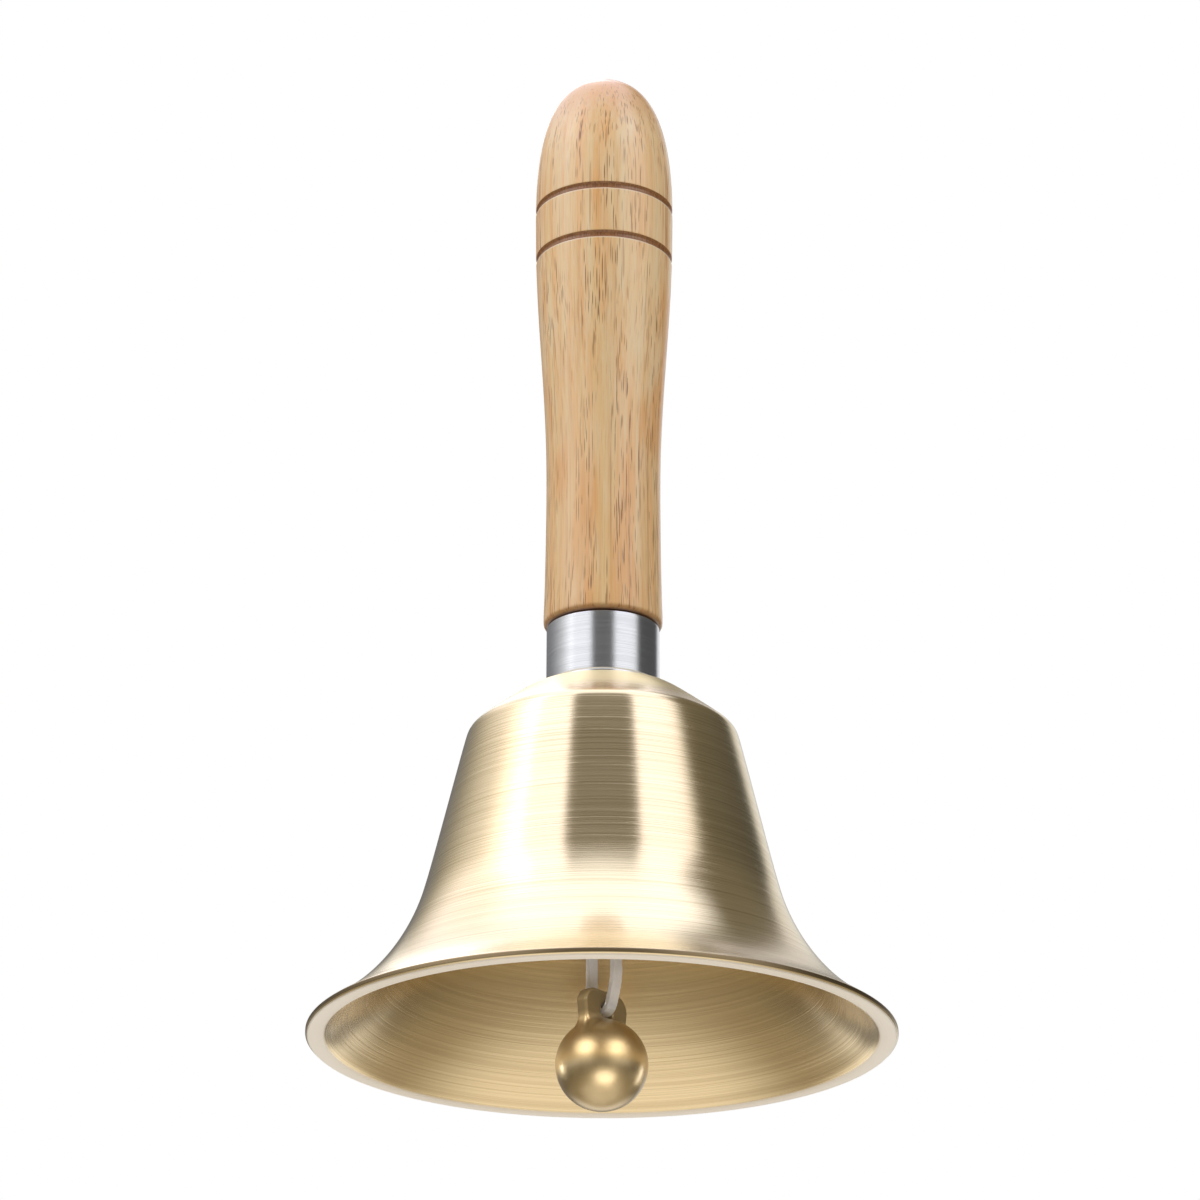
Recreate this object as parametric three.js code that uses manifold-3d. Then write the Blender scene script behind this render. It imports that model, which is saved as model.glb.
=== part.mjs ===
// A hand bell: a turned wooden handle on a turned brass bell, with a clapper that hangs inside it.
// Millimetres, +Z up. Heights are measured from the plane of the bell's rim; the finished group is
// lowered at the end, so that its origin is the middle of the grip on the handle's axis.
import * as THREE from 'three';
import { mergeVertices } from 'three/addons/utils/BufferGeometryUtils.js';
import Module from 'manifold-3d';

const wasm = await Module();
wasm.setup();

// ---------------------------------------------------------------- driving dimensions
const TOTAL_HEIGHT = 199.9; // rim to the top of the handle
const GRIP_HEIGHT = 120; // middle of the grip, which is the part's origin

// bell
const RIM_RADIUS = 55;
const RIM_FACE_INNER_RADIUS = 52;
const RIM_EDGE_CHAMFER = 0.5;
const LIP_HEIGHT = 1.1; // height of the plain edge of the rim
const LIP_CHAMFER = 0.2;
const CONE_SLOPE = 0.246; // radius lost per unit of height on the bell's waist
const SHOULDER_HEIGHT = 60.1; // where waist and crown would meet without their rounding
const SHOULDER_RADIUS = 25.75;
const SHOULDER_ROUNDING = 3;
const FLARE_TOP_HEIGHT = 29.9; // the waist turns into the flare here
const CROWN_SLOPE_DEG = 37.2;
const CROWN_ROUNDING = 5;
const SEAT_HEIGHT = 68.6; // flat top of the crown
const WALL = 1.8;
const CROWN_WALL = 2.2;
const CROWN_HOLE_RADIUS = 2.8;

// ferrule
const FERRULE_RADIUS = 10.85;
const FERRULE_BORE_RADIUS = 9.5;
const FERRULE_HEIGHT = 13.4;
const FERRULE_CHAMFER = 0.3;
const FERRULE_LINE_HEIGHT = 1.4; // a thin turned line above its lower edge
const FERRULE_LINE_DEPTH = 0.15;

// handle
const FIT_GAP = 0.1; // between fixed pieces that touch
const LIP_RADIUS = 11.45; // the wood stands a little proud of the ferrule
const LIP_ROUNDING = 1.1;
const WAIST_RADIUS = 11.1;
const WAIST_HEIGHT = 111;
const SWELL_RADIUS = 13.65;
const SWELL_HEIGHT = 169;
const DOME_POWER = 2.6; // exponent of the superellipse that closes the top
const GROOVE_HEIGHTS = [160.4, 171];
const GROOVE_HALF_WIDTH = 0.75;
const GROOVE_DEPTH = 0.45;
const TENON_RADIUS = 9.4;
const TENON_CHAMFER = 0.4;
const TENON_END_GAP = 0.2;
const PILOT_RADIUS = 2.7; // hole for the hanger's screw
const PILOT_TOP = 111.6;
const PILOT_CONE = 2;

// fixing stack under the crown: outer radius, hole radius, thickness
const LEATHER_WASHER = { outer: 11, hole: 2.8, thickness: 1.5 };
const CLAMP_WASHER = { outer: 9, hole: 2.7, thickness: 1.2 };
const LOCK_WASHER = { outer: 4.6, hole: 2.7, thickness: 1.3, gapDeg: 14 };
const NUT = { acrossFlats: 8, hole: 2.65, thickness: 4 };

// hanger: a screw that holds the bell to the handle and ends in an eye
const SHANK_RADIUS = 2.5;
const SHANK_END_GAP = 4; // between the screw's tip and the end of its hole
const SHANK_POINT = 3;
const EYE_WIRE_RADIUS = 1.5;
const EYE_RING_RADIUS = 5;
const EYE_BAR_HEIGHT = 46; // centre of the wire at the bottom of the eye, which the strap hangs on

// strap and clapper
const LUG_TURN_DEG = 52; // the eye and the clapper's lug lie in one plane, turned this far about +Z
const STRAP_WIDTH = 2.6;
const STRAP_THICKNESS = 1;
const STRAP_TOP_RADIUS = EYE_WIRE_RADIUS + 0.35 + STRAP_THICKNESS / 2;
const STRAP_NEAR_REACH = 3.3; // how far each strand stands off the lug's middle plane
const STRAP_NEAR_GATHER = 0.75;
const STRAP_FAR_REACH = 2.4;
// head that closes the loop
const STRAP_LOCK = { width: 4.4, depth: 3, height: 4.2, centreHeight: 35 };
const LUG_HOLE_HEIGHT = 5.4;
const BALL_RADIUS = 8.65;
const BALL_DROP = 9.9; // ball centre below the lug's hole
const LUG_HOLE_RADIUS = 1.75;
const LUG_THICKNESS = 2.4;
const LUG_HALF_WIDTH = 6.4;
const LUG_NECK_HALF_WIDTH = 5.9;
const LUG_TOP = 14; // above the ball's centre
const LUG_ROOT = 3; // the lug starts inside the ball, this far above its centre
const LUG_CORNER = 3.3;
const LUG_BEVEL = 0.4;

// ---------------------------------------------------------------- helpers
const degrees = THREE.MathUtils.degToRad;
const point = (x, y) => new THREE.Vector2(x, y);

// Keeps positions only, joins equal vertices and drops triangles that have no area.
function closeMesh(geometry) {
  geometry.deleteAttribute('normal');
  geometry.deleteAttribute('uv');
  const merged = mergeVertices(geometry, 1e-4);
  const corners = merged.index.array;
  const kept = [];
  for (let i = 0; i < corners.length; i += 3) {
    const [a, b, c] = [corners[i], corners[i + 1], corners[i + 2]];
    if (a !== b && b !== c && c !== a) kept.push(a, b, c);
  }
  merged.setIndex(kept);
  return merged;
}

// Turns an outline of (radius, height) points about +Z. Outlines run so that the faces point out.
function turned(outline, segments) {
  const geometry = new THREE.LatheGeometry(outline, segments);
  geometry.rotateX(Math.PI / 2);
  return closeMesh(geometry);
}

function toSolid(geometry) {
  const closed = closeMesh(geometry);
  return new wasm.Manifold(new wasm.Mesh({
    numProp: 3,
    vertProperties: new Float32Array(closed.attributes.position.array),
    triVerts: new Uint32Array(closed.index.array),
  }));
}

function fromSolid(solid) {
  const mesh = solid.getMesh();
  const geometry = new THREE.BufferGeometry();
  geometry.setAttribute('position', new THREE.BufferAttribute(mesh.vertProperties, 3));
  geometry.setIndex(new THREE.BufferAttribute(mesh.triVerts, 1));
  return geometry;
}

// Points on an arc that leaves start at right angles to the unit vector toCentre and reaches end.
function tangentArc(start, toCentre, end, steps) {
  const chord = end.clone().sub(start);
  const radius = chord.lengthSq() / (2 * chord.dot(toCentre));
  const centre = start.clone().addScaledVector(toCentre, radius);
  const from = start.clone().sub(centre).angle();
  let sweep = end.clone().sub(centre).angle() - from;
  if (sweep > Math.PI) sweep -= 2 * Math.PI;
  if (sweep < -Math.PI) sweep += 2 * Math.PI;
  const points = [];
  for (let i = 0; i <= steps; i++) {
    const angle = from + (sweep * i) / steps;
    const spoke = point(Math.cos(angle), Math.sin(angle)).multiplyScalar(Math.abs(radius));
    points.push(spoke.add(centre));
  }
  return points;
}

// Points that round the corner between the directions to before and to after.
function roundedCorner(before, corner, after, radius, steps) {
  const back = before.clone().sub(corner).normalize();
  const ahead = after.clone().sub(corner).normalize();
  const setback = radius / Math.tan(Math.acos(back.dot(ahead)) / 2);
  const start = corner.clone().addScaledVector(back, setback);
  const end = corner.clone().addScaledVector(ahead, setback);
  const side = back.clone().add(ahead).normalize();
  const normal = side.clone().addScaledVector(back, -side.dot(back)).normalize();
  return tangentArc(start, normal, end, steps);
}

function material(color, roughness, metalness) {
  return new THREE.MeshStandardMaterial({ color, roughness, metalness });
}

function part(name, geometry, finish) {
  geometry.computeVertexNormals();
  const mesh = new THREE.Mesh(geometry, finish);
  mesh.name = name;
  return mesh;
}

// ---------------------------------------------------------------- materials
const OAK = material(0xd7b48c, 0.5, 0);
const BRASS = material(0xcdb27c, 0.35, 1);
const CLAPPER_BRASS = material(0x8f7540, 0.3, 1);
const FERRULE_METAL = material(0xc4c6c8, 0.35, 1);
const ZINC_STEEL = material(0xb4b6ba, 0.4, 1);
const LEATHER = material(0x6a3b2a, 0.8, 0);
const NYLON = material(0xd8dadc, 0.35, 0);

// ---------------------------------------------------------------- bell
// The waist is a cone. The flare and the crown hang on it, inside and outside alike, so one function
// makes both surfaces: inset is how far the surface lies behind the outer one.
function bellSurface(inset, crownInset, rimPoint, roundings) {
  const lean = Math.atan(CONE_SLOPE);
  const outward = point(Math.cos(lean), Math.sin(lean));
  const coneRadius = (height) =>
    SHOULDER_RADIUS - inset / Math.cos(lean) + CONE_SLOPE * (SHOULDER_HEIGHT - height);
  const flareTop = point(coneRadius(FLARE_TOP_HEIGHT), FLARE_TOP_HEIGHT);
  const flare = tangentArc(flareTop, outward, rimPoint, 8).reverse();

  const crownTan = Math.tan(degrees(CROWN_SLOPE_DEG));
  const crownDrop = crownInset / Math.cos(degrees(CROWN_SLOPE_DEG));
  const coneAtZero = coneRadius(0);
  const crownAtZero = SHOULDER_HEIGHT + SHOULDER_RADIUS * crownTan - crownDrop;
  const shoulderHeight = (crownAtZero - coneAtZero * crownTan) / (1 - CONE_SLOPE * crownTan);
  const shoulder = point(coneRadius(shoulderHeight), shoulderHeight);
  const seatHeight = SEAT_HEIGHT - crownInset;
  const seatCorner = point((crownAtZero - seatHeight) / crownTan, seatHeight);
  const seatEdge = point(CROWN_HOLE_RADIUS, seatHeight);
  return [
    ...flare,
    ...roundedCorner(flareTop, shoulder, seatCorner, roundings.shoulder, 3),
    ...roundedCorner(shoulder, seatCorner, seatEdge, roundings.crown, 2),
    seatEdge,
  ];
}

function bellShell() {
  const lipTop = point(RIM_RADIUS - LIP_CHAMFER, LIP_HEIGHT + LIP_CHAMFER);
  const outer = bellSurface(0, 0, lipTop, { shoulder: SHOULDER_ROUNDING, crown: CROWN_ROUNDING });
  const rimInner = point(RIM_FACE_INNER_RADIUS, 0);
  const inner = bellSurface(WALL, CROWN_WALL, rimInner, {
    shoulder: SHOULDER_ROUNDING - WALL,
    crown: CROWN_ROUNDING - CROWN_WALL,
  });
  const outline = [
    rimInner,
    point(RIM_RADIUS - RIM_EDGE_CHAMFER, 0),
    point(RIM_RADIUS, RIM_EDGE_CHAMFER),
    point(RIM_RADIUS, LIP_HEIGHT),
    ...outer,
    ...inner.reverse(),
  ];
  return part('bell_shell', turned(outline, 56), BRASS);
}

// ---------------------------------------------------------------- handle and ferrule
function ferrule() {
  const foot = SEAT_HEIGHT + FIT_GAP;
  const top = foot + FERRULE_HEIGHT;
  const line = foot + FERRULE_LINE_HEIGHT;
  const outline = [
    point(FERRULE_BORE_RADIUS, foot),
    point(FERRULE_RADIUS - FERRULE_CHAMFER, foot),
    point(FERRULE_RADIUS, foot + FERRULE_CHAMFER),
    point(FERRULE_RADIUS, line - FERRULE_LINE_DEPTH),
    point(FERRULE_RADIUS - FERRULE_LINE_DEPTH, line),
    point(FERRULE_RADIUS, line + FERRULE_LINE_DEPTH),
    point(FERRULE_RADIUS, top - FERRULE_CHAMFER),
    point(FERRULE_RADIUS - FERRULE_CHAMFER, top),
    point(FERRULE_BORE_RADIUS, top),
    point(FERRULE_BORE_RADIUS, foot),
  ];
  return part('ferrule', turned(outline, 40), FERRULE_METAL);
}

const HANDLE_FOOT = SEAT_HEIGHT + 2 * FIT_GAP + FERRULE_HEIGHT;
const LIP_TOP = HANDLE_FOOT + LIP_ROUNDING;

// Radius of the handle's long body, without its grooves.
function handleRadius(height) {
  if (height > SWELL_HEIGHT) {
    const share = (height - SWELL_HEIGHT) / (TOTAL_HEIGHT - SWELL_HEIGHT);
    return SWELL_RADIUS * Math.pow(1 - Math.pow(share, DOME_POWER), 1 / DOME_POWER);
  }
  if (height > WAIST_HEIGHT) {
    const share = (height - WAIST_HEIGHT) / (SWELL_HEIGHT - WAIST_HEIGHT);
    return WAIST_RADIUS + ((SWELL_RADIUS - WAIST_RADIUS) * (1 - Math.cos(Math.PI * share))) / 2;
  }
  const share = (WAIST_HEIGHT - height) / (WAIST_HEIGHT - LIP_TOP);
  return WAIST_RADIUS + (LIP_RADIUS - WAIST_RADIUS) * share * share;
}

function handle() {
  const tenonFoot = SEAT_HEIGHT + FIT_GAP + TENON_END_GAP;
  const outline = [
    point(0, PILOT_TOP),
    point(PILOT_RADIUS, PILOT_TOP - PILOT_CONE),
    point(PILOT_RADIUS, tenonFoot),
    point(TENON_RADIUS - TENON_CHAMFER, tenonFoot),
    point(TENON_RADIUS, tenonFoot + TENON_CHAMFER),
    point(TENON_RADIUS, HANDLE_FOOT),
  ];
  const lipSteps = 4;
  for (let i = 0; i <= lipSteps; i++) {
    const angle = (-Math.PI / 2) * (1 - i / lipSteps);
    outline.push(point(
      LIP_RADIUS - LIP_ROUNDING * (1 - Math.cos(angle)),
      LIP_TOP + LIP_ROUNDING * Math.sin(angle),
    ));
  }
  const lowerSteps = 5;
  for (let i = 1; i < lowerSteps; i++) {
    const height = LIP_TOP + ((WAIST_HEIGHT - LIP_TOP) * i) / lowerSteps;
    outline.push(point(handleRadius(height), height));
  }
  const upperSteps = 7;
  const [lowGroove] = GROOVE_HEIGHTS;
  for (let i = 0; i < upperSteps; i++) {
    const height = WAIST_HEIGHT + ((lowGroove - GROOVE_HALF_WIDTH - WAIST_HEIGHT) * i) / upperSteps;
    outline.push(point(handleRadius(height), height));
  }
  for (const height of GROOVE_HEIGHTS) {
    outline.push(point(handleRadius(height - GROOVE_HALF_WIDTH), height - GROOVE_HALF_WIDTH));
    outline.push(point(handleRadius(height) - GROOVE_DEPTH, height - GROOVE_HALF_WIDTH / 3));
    outline.push(point(handleRadius(height) - GROOVE_DEPTH, height + GROOVE_HALF_WIDTH / 3));
    outline.push(point(handleRadius(height + GROOVE_HALF_WIDTH), height + GROOVE_HALF_WIDTH));
  }
  const domeStart = GROOVE_HEIGHTS[1] + GROOVE_HALF_WIDTH;
  const domeSteps = 12;
  for (let i = 1; i <= domeSteps; i++) {
    const height = domeStart + (TOTAL_HEIGHT - domeStart) * Math.sin((Math.PI / 2) * (i / domeSteps));
    outline.push(point(i === domeSteps ? 0 : handleRadius(height), height));
  }
  return part('handle', turned(outline, 40), OAK);
}

// ---------------------------------------------------------------- fixing stack
function ring(name, size, top, finish, segments) {
  const foot = top - size.thickness;
  const outline = [
    point(size.hole, foot),
    point(size.outer, foot),
    point(size.outer, top),
    point(size.hole, top),
    point(size.hole, foot),
  ];
  return part(name, turned(outline, segments), finish);
}

// A spring washer pressed flat: a ring with a narrow cut.
function lockWasher(top) {
  const half = degrees(LOCK_WASHER.gapDeg / 2);
  const shape = new THREE.Shape();
  shape.absarc(0, 0, LOCK_WASHER.outer, half, 2 * Math.PI - half, false);
  shape.absarc(0, 0, LOCK_WASHER.hole, 2 * Math.PI - half, half, true);
  shape.closePath();
  const geometry = new THREE.ExtrudeGeometry(shape, {
    depth: LOCK_WASHER.thickness,
    bevelEnabled: false,
    curveSegments: 32,
  });
  geometry.translate(0, 0, top - LOCK_WASHER.thickness);
  return part('lock_washer', closeMesh(geometry), ZINC_STEEL);
}

function hexNut(top) {
  const cornerRadius = NUT.acrossFlats / Math.sqrt(3);
  const foot = top - NUT.thickness;
  const prism = new THREE.CylinderGeometry(cornerRadius, cornerRadius, NUT.thickness, 6);
  prism.rotateX(Math.PI / 2);
  prism.translate(0, 0, foot + NUT.thickness / 2);
  const chamfer = cornerRadius - NUT.acrossFlats / 2;
  const turnedEnvelope = turned([
    point(NUT.hole, foot),
    point(NUT.acrossFlats / 2, foot),
    point(cornerRadius + 0.1, foot + chamfer * 0.8),
    point(cornerRadius + 0.1, top - chamfer * 0.8),
    point(NUT.acrossFlats / 2, top),
    point(NUT.hole, top),
    point(NUT.hole, foot),
  ], 36);
  const solid = toSolid(prism).intersect(toSolid(turnedEnvelope));
  return part('hex_nut', fromSolid(solid), ZINC_STEEL);
}

// ---------------------------------------------------------------- hanger, strap and clapper
// These three are drawn with the eye and the lug in the XZ plane, then turned together about +Z.
function eyeHanger() {
  const ringCentre = EYE_BAR_HEIGHT + EYE_RING_RADIUS;
  const tip = PILOT_TOP - SHANK_END_GAP;
  const ringTop = ringCentre + EYE_RING_RADIUS;
  const shankFoot = ringTop - EYE_WIRE_RADIUS / 2;
  const shank = turned([
    point(0, shankFoot),
    point(EYE_WIRE_RADIUS, shankFoot),
    point(SHANK_RADIUS, ringTop + 1.2),
    point(SHANK_RADIUS, tip - SHANK_POINT),
    point(0, tip),
  ], 24);
  const eye = new THREE.TorusGeometry(EYE_RING_RADIUS, EYE_WIRE_RADIUS, 12, 32);
  eye.rotateX(Math.PI / 2);
  eye.translate(0, 0, ringCentre);
  return part('eye_hanger', fromSolid(toSolid(shank).add(toSolid(eye))), ZINC_STEEL);
}

// The strap is one flat strip in a closed loop: over the bar of the eye, down both sides of the
// lug and through its hole. Its plane is YZ, and -Y is the side that faces the near strand.
function suspensionStrap() {
  const eyeTop = EYE_BAR_HEIGHT;
  const hole = LUG_HOLE_HEIGHT;
  // One strand from the lug's hole up to the eye. It stands off the lug by reach, and draws in by
  // gather where it goes round the hole's edge.
  const strand = (side, reach, gather) => [
    [side * 1.1, hole + 0.1],
    [side * 1.9, hole + 1],
    [side * (reach - gather), hole + 3],
    [side * reach, hole + 6.5],
    [side * reach, hole + 10],
    [side * STRAP_TOP_RADIUS, eyeTop - 10],
    [side * STRAP_TOP_RADIUS, eyeTop - 3],
  ];
  const overTheBar = [180, 135, 90, 45, 0].map((angle) => [
    STRAP_TOP_RADIUS * Math.cos(degrees(angle)),
    eyeTop + STRAP_TOP_RADIUS * Math.sin(degrees(angle)),
  ]);
  const middle = [
    [0, hole - 0.1],
    ...strand(-1, STRAP_NEAR_REACH, STRAP_NEAR_GATHER),
    ...overTheBar,
    ...strand(1, STRAP_FAR_REACH, 0).reverse(),
  ];
  const stations = middle.map(([y, z]) => new THREE.Vector3(y, z, 0));
  const curve = new THREE.CatmullRomCurve3(stations, true);
  const steps = 64;
  const offsetLine = (offset) => {
    const points = [];
    for (let i = 0; i < steps; i++) {
      const at = curve.getPoint(i / steps);
      const along = curve.getTangent(i / steps);
      points.push(point(at.x - along.y * offset, at.y + along.x * offset));
    }
    return points;
  };
  const shape = new THREE.Shape(offsetLine(STRAP_THICKNESS / 2));
  shape.holes.push(new THREE.Path(offsetLine(-STRAP_THICKNESS / 2).reverse()));
  const band = new THREE.ExtrudeGeometry(shape, { depth: STRAP_WIDTH, bevelEnabled: false });
  // (x, y, z) of the drawing becomes (z, x, y): the loop stands up and the strip's width runs along X.
  const upright = new THREE.Matrix4().makeBasis(
    new THREE.Vector3(0, 1, 0),
    new THREE.Vector3(0, 0, 1),
    new THREE.Vector3(1, 0, 0),
  );
  band.translate(0, 0, -STRAP_WIDTH / 2);
  band.applyMatrix4(upright);
  const lock = new THREE.BoxGeometry(STRAP_LOCK.width, STRAP_LOCK.depth, STRAP_LOCK.height);
  const lockCentre = STRAP_TOP_RADIUS + STRAP_LOCK.depth / 2 - STRAP_THICKNESS / 4;
  lock.translate(0, lockCentre, STRAP_LOCK.centreHeight);
  return part('suspension_strap', fromSolid(toSolid(band).add(toSolid(lock))), NYLON);
}

// The lug's outline: it spreads into the ball below and ends in a wide rounded head.
function lugShape(ballHeight) {
  const neck = ballHeight + BALL_RADIUS;
  const top = ballHeight + LUG_TOP;
  const root = ballHeight + LUG_ROOT;
  const narrow = LUG_NECK_HALF_WIDTH;
  const wide = LUG_HALF_WIDTH;
  const shape = new THREE.Shape();
  shape.moveTo(-narrow - 0.8, root);
  shape.lineTo(narrow + 0.8, root);
  shape.bezierCurveTo(narrow + 0.2, neck - 2, narrow - 0.2, neck, wide, top - LUG_CORNER);
  shape.bezierCurveTo(wide + 0.1, top - 1, wide - 2, top, wide - LUG_CORNER, top);
  shape.lineTo(LUG_CORNER - wide, top);
  shape.bezierCurveTo(2 - wide, top, -wide - 0.1, top - 1, -wide, top - LUG_CORNER);
  shape.bezierCurveTo(0.2 - narrow, neck, -narrow - 0.2, neck - 2, -narrow - 0.8, root);
  return shape;
}

function clapper() {
  const ballHeight = LUG_HOLE_HEIGHT - BALL_DROP;
  const ball = new THREE.SphereGeometry(BALL_RADIUS, 28, 18);
  ball.rotateX(Math.PI / 2);
  ball.translate(0, 0, ballHeight);
  const flatThickness = LUG_THICKNESS - 2 * LUG_BEVEL;
  const lug = new THREE.ExtrudeGeometry(lugShape(ballHeight), {
    depth: flatThickness,
    bevelThickness: LUG_BEVEL,
    bevelSize: LUG_BEVEL,
    bevelOffset: -LUG_BEVEL,
    bevelSegments: 2,
    curveSegments: 7,
  });
  lug.translate(0, 0, -flatThickness / 2);
  lug.rotateX(Math.PI / 2);
  const drill = new THREE.CylinderGeometry(LUG_HOLE_RADIUS, LUG_HOLE_RADIUS, 4 * LUG_THICKNESS, 24);
  drill.translate(0, 0, LUG_HOLE_HEIGHT);
  const solid = toSolid(ball).add(toSolid(lug)).subtract(toSolid(drill));
  return part('clapper', fromSolid(solid), CLAPPER_BRASS);
}

// ---------------------------------------------------------------- assembly
const handbell = new THREE.Group();
handbell.add(bellShell(), ferrule(), handle());

let stackTop = SEAT_HEIGHT - CROWN_WALL - FIT_GAP;
handbell.add(ring('leather_washer', LEATHER_WASHER, stackTop, LEATHER, 32));
stackTop -= LEATHER_WASHER.thickness + FIT_GAP;
handbell.add(ring('clamp_washer', CLAMP_WASHER, stackTop, ZINC_STEEL, 32));
stackTop -= CLAMP_WASHER.thickness + FIT_GAP;
handbell.add(lockWasher(stackTop));
stackTop -= LOCK_WASHER.thickness + FIT_GAP;
handbell.add(hexNut(stackTop));

const suspension = new THREE.Group();
suspension.rotation.z = degrees(LUG_TURN_DEG);
suspension.add(eyeHanger(), suspensionStrap(), clapper());
handbell.add(suspension);

handbell.position.z = -GRIP_HEIGHT;

export default handbell;
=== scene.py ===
"""Looks of the hand bell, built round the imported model.

Metres, +Z up, in the frame of the CAD: the origin is the middle of the grip on the handle's axis.
"""
import math

import bpy
import numpy as np
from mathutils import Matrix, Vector


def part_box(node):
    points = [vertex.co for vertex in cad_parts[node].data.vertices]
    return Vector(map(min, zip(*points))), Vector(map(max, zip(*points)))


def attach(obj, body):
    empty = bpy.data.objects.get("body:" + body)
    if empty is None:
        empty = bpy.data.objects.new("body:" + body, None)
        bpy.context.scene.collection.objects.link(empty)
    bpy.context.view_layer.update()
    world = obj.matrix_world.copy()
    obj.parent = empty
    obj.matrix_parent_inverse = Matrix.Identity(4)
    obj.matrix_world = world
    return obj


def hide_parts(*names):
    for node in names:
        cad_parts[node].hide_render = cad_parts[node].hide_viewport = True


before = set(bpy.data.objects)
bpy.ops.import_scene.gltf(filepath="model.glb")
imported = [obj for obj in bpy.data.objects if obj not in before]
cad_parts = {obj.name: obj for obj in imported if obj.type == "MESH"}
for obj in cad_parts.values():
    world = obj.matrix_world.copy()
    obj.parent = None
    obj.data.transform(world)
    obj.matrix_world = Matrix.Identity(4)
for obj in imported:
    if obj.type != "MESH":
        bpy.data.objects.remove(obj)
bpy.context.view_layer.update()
MM = 0.001

# ---------------------------------------------------------------- facts read from the frame
RIM_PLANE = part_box("bell_shell")[0].z
CROWN_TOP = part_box("bell_shell")[1].z
WOOD_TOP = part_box("handle")[1].z
WOOD_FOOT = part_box("ferrule")[1].z
FERRULE_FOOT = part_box("ferrule")[0].z
# How far above the ferrule's foot its painted highlight line runs
FERRULE_HIGHLIGHT_RISE = 1.43 * MM
CLAPPER_LOW, CLAPPER_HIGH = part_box("clapper")
GROOVES = tuple(WOOD_TOP - below * MM for below in (39.5, 28.9))


# ---------------------------------------------------------------- turned shapes
def outline_of(node):
    """A turned CAD node's outline: its points (radius, height) on the half plane toward +X."""
    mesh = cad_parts[node].data
    on_plane = {}
    for vertex in mesh.vertices:
        if abs(vertex.co.y) < 1e-6 and vertex.co.x > -1e-7:
            on_plane[vertex.index] = (round(vertex.co.x * 1e6), round(vertex.co.z * 1e6))
    beside = {}
    for edge in mesh.edges:
        a, b = (on_plane.get(i) for i in edge.vertices)
        if a is None or b is None or a == b:
            continue
        beside.setdefault(a, set()).add(b)
        beside.setdefault(b, set()).add(a)
    ends = sorted(p for p in beside if len(beside[p]) == 1)
    closed = not ends
    at = ends[0] if ends else min(beside, key=lambda p: (p[1], p[0]))
    chain = [at]
    seen = {at}
    while True:
        ahead = sorted(p for p in beside[at] if p not in seen)
        if not ahead:
            break
        at = ahead[-1] if len(chain) == 1 else ahead[0]
        seen.add(at)
        chain.append(at)
    return np.array(chain, float) * 1e-6, closed


def turns_at(points, closed):
    """How sharply the outline turns at each of its points, in degrees."""
    before = points - np.roll(points, 1, axis=0)
    after = np.roll(points, -1, axis=0) - points
    angle = np.degrees(np.arctan2(after[:, 1], after[:, 0]) - np.arctan2(before[:, 1], before[:, 0]))
    angle = np.abs((angle + 180) % 360 - 180)
    if not closed:
        angle[0] = angle[-1] = 180
    return angle


def spline_run(points, spacing):
    """A smooth curve through the points of one run between two corners."""
    if len(points) == 2:
        count = max(1, int(np.ceil(np.linalg.norm(points[1] - points[0]) / spacing)))
        share = np.linspace(0, 1, count + 1)[:, None]
        return points[0] * (1 - share) + points[1] * share
    padded = np.vstack([2 * points[0] - points[1], points, 2 * points[-1] - points[-2]])
    made = [points[:1]]
    for i in range(1, len(padded) - 2):
        p0, p1, p2, p3 = padded[i - 1], padded[i], padded[i + 1], padded[i + 2]
        t0 = 0.0
        t1 = t0 + np.linalg.norm(p1 - p0) ** 0.5
        t2 = t1 + np.linalg.norm(p2 - p1) ** 0.5
        t3 = t2 + np.linalg.norm(p3 - p2) ** 0.5
        count = max(2, int(np.ceil(np.linalg.norm(p2 - p1) / spacing)))
        t = np.linspace(t1, t2, count + 1)[1:, None]
        a1 = (t1 - t) / (t1 - t0) * p0 + (t - t0) / (t1 - t0) * p1
        a2 = (t2 - t) / (t2 - t1) * p1 + (t - t1) / (t2 - t1) * p2
        a3 = (t3 - t) / (t3 - t2) * p2 + (t - t2) / (t3 - t2) * p3
        b1 = (t2 - t) / (t2 - t0) * a1 + (t - t0) / (t2 - t0) * a2
        b2 = (t3 - t) / (t3 - t1) * a2 + (t - t1) / (t3 - t1) * a3
        made.append((t2 - t) / (t2 - t1) * b1 + (t - t1) / (t2 - t1) * b2)
    return np.vstack(made)


def cut_back(run, length):
    """The run without its last stretch of that length."""
    steps = np.linalg.norm(np.diff(run, axis=0), axis=1)
    total = np.concatenate([[0], np.cumsum(steps)])
    keep = max(total[-1] - length, total[-1] * 0.55)
    inside = run[total < keep - 1e-9]
    end = np.array([np.interp(keep, total, run[:, k]) for k in (0, 1)])
    return np.vstack([inside, end])


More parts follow.
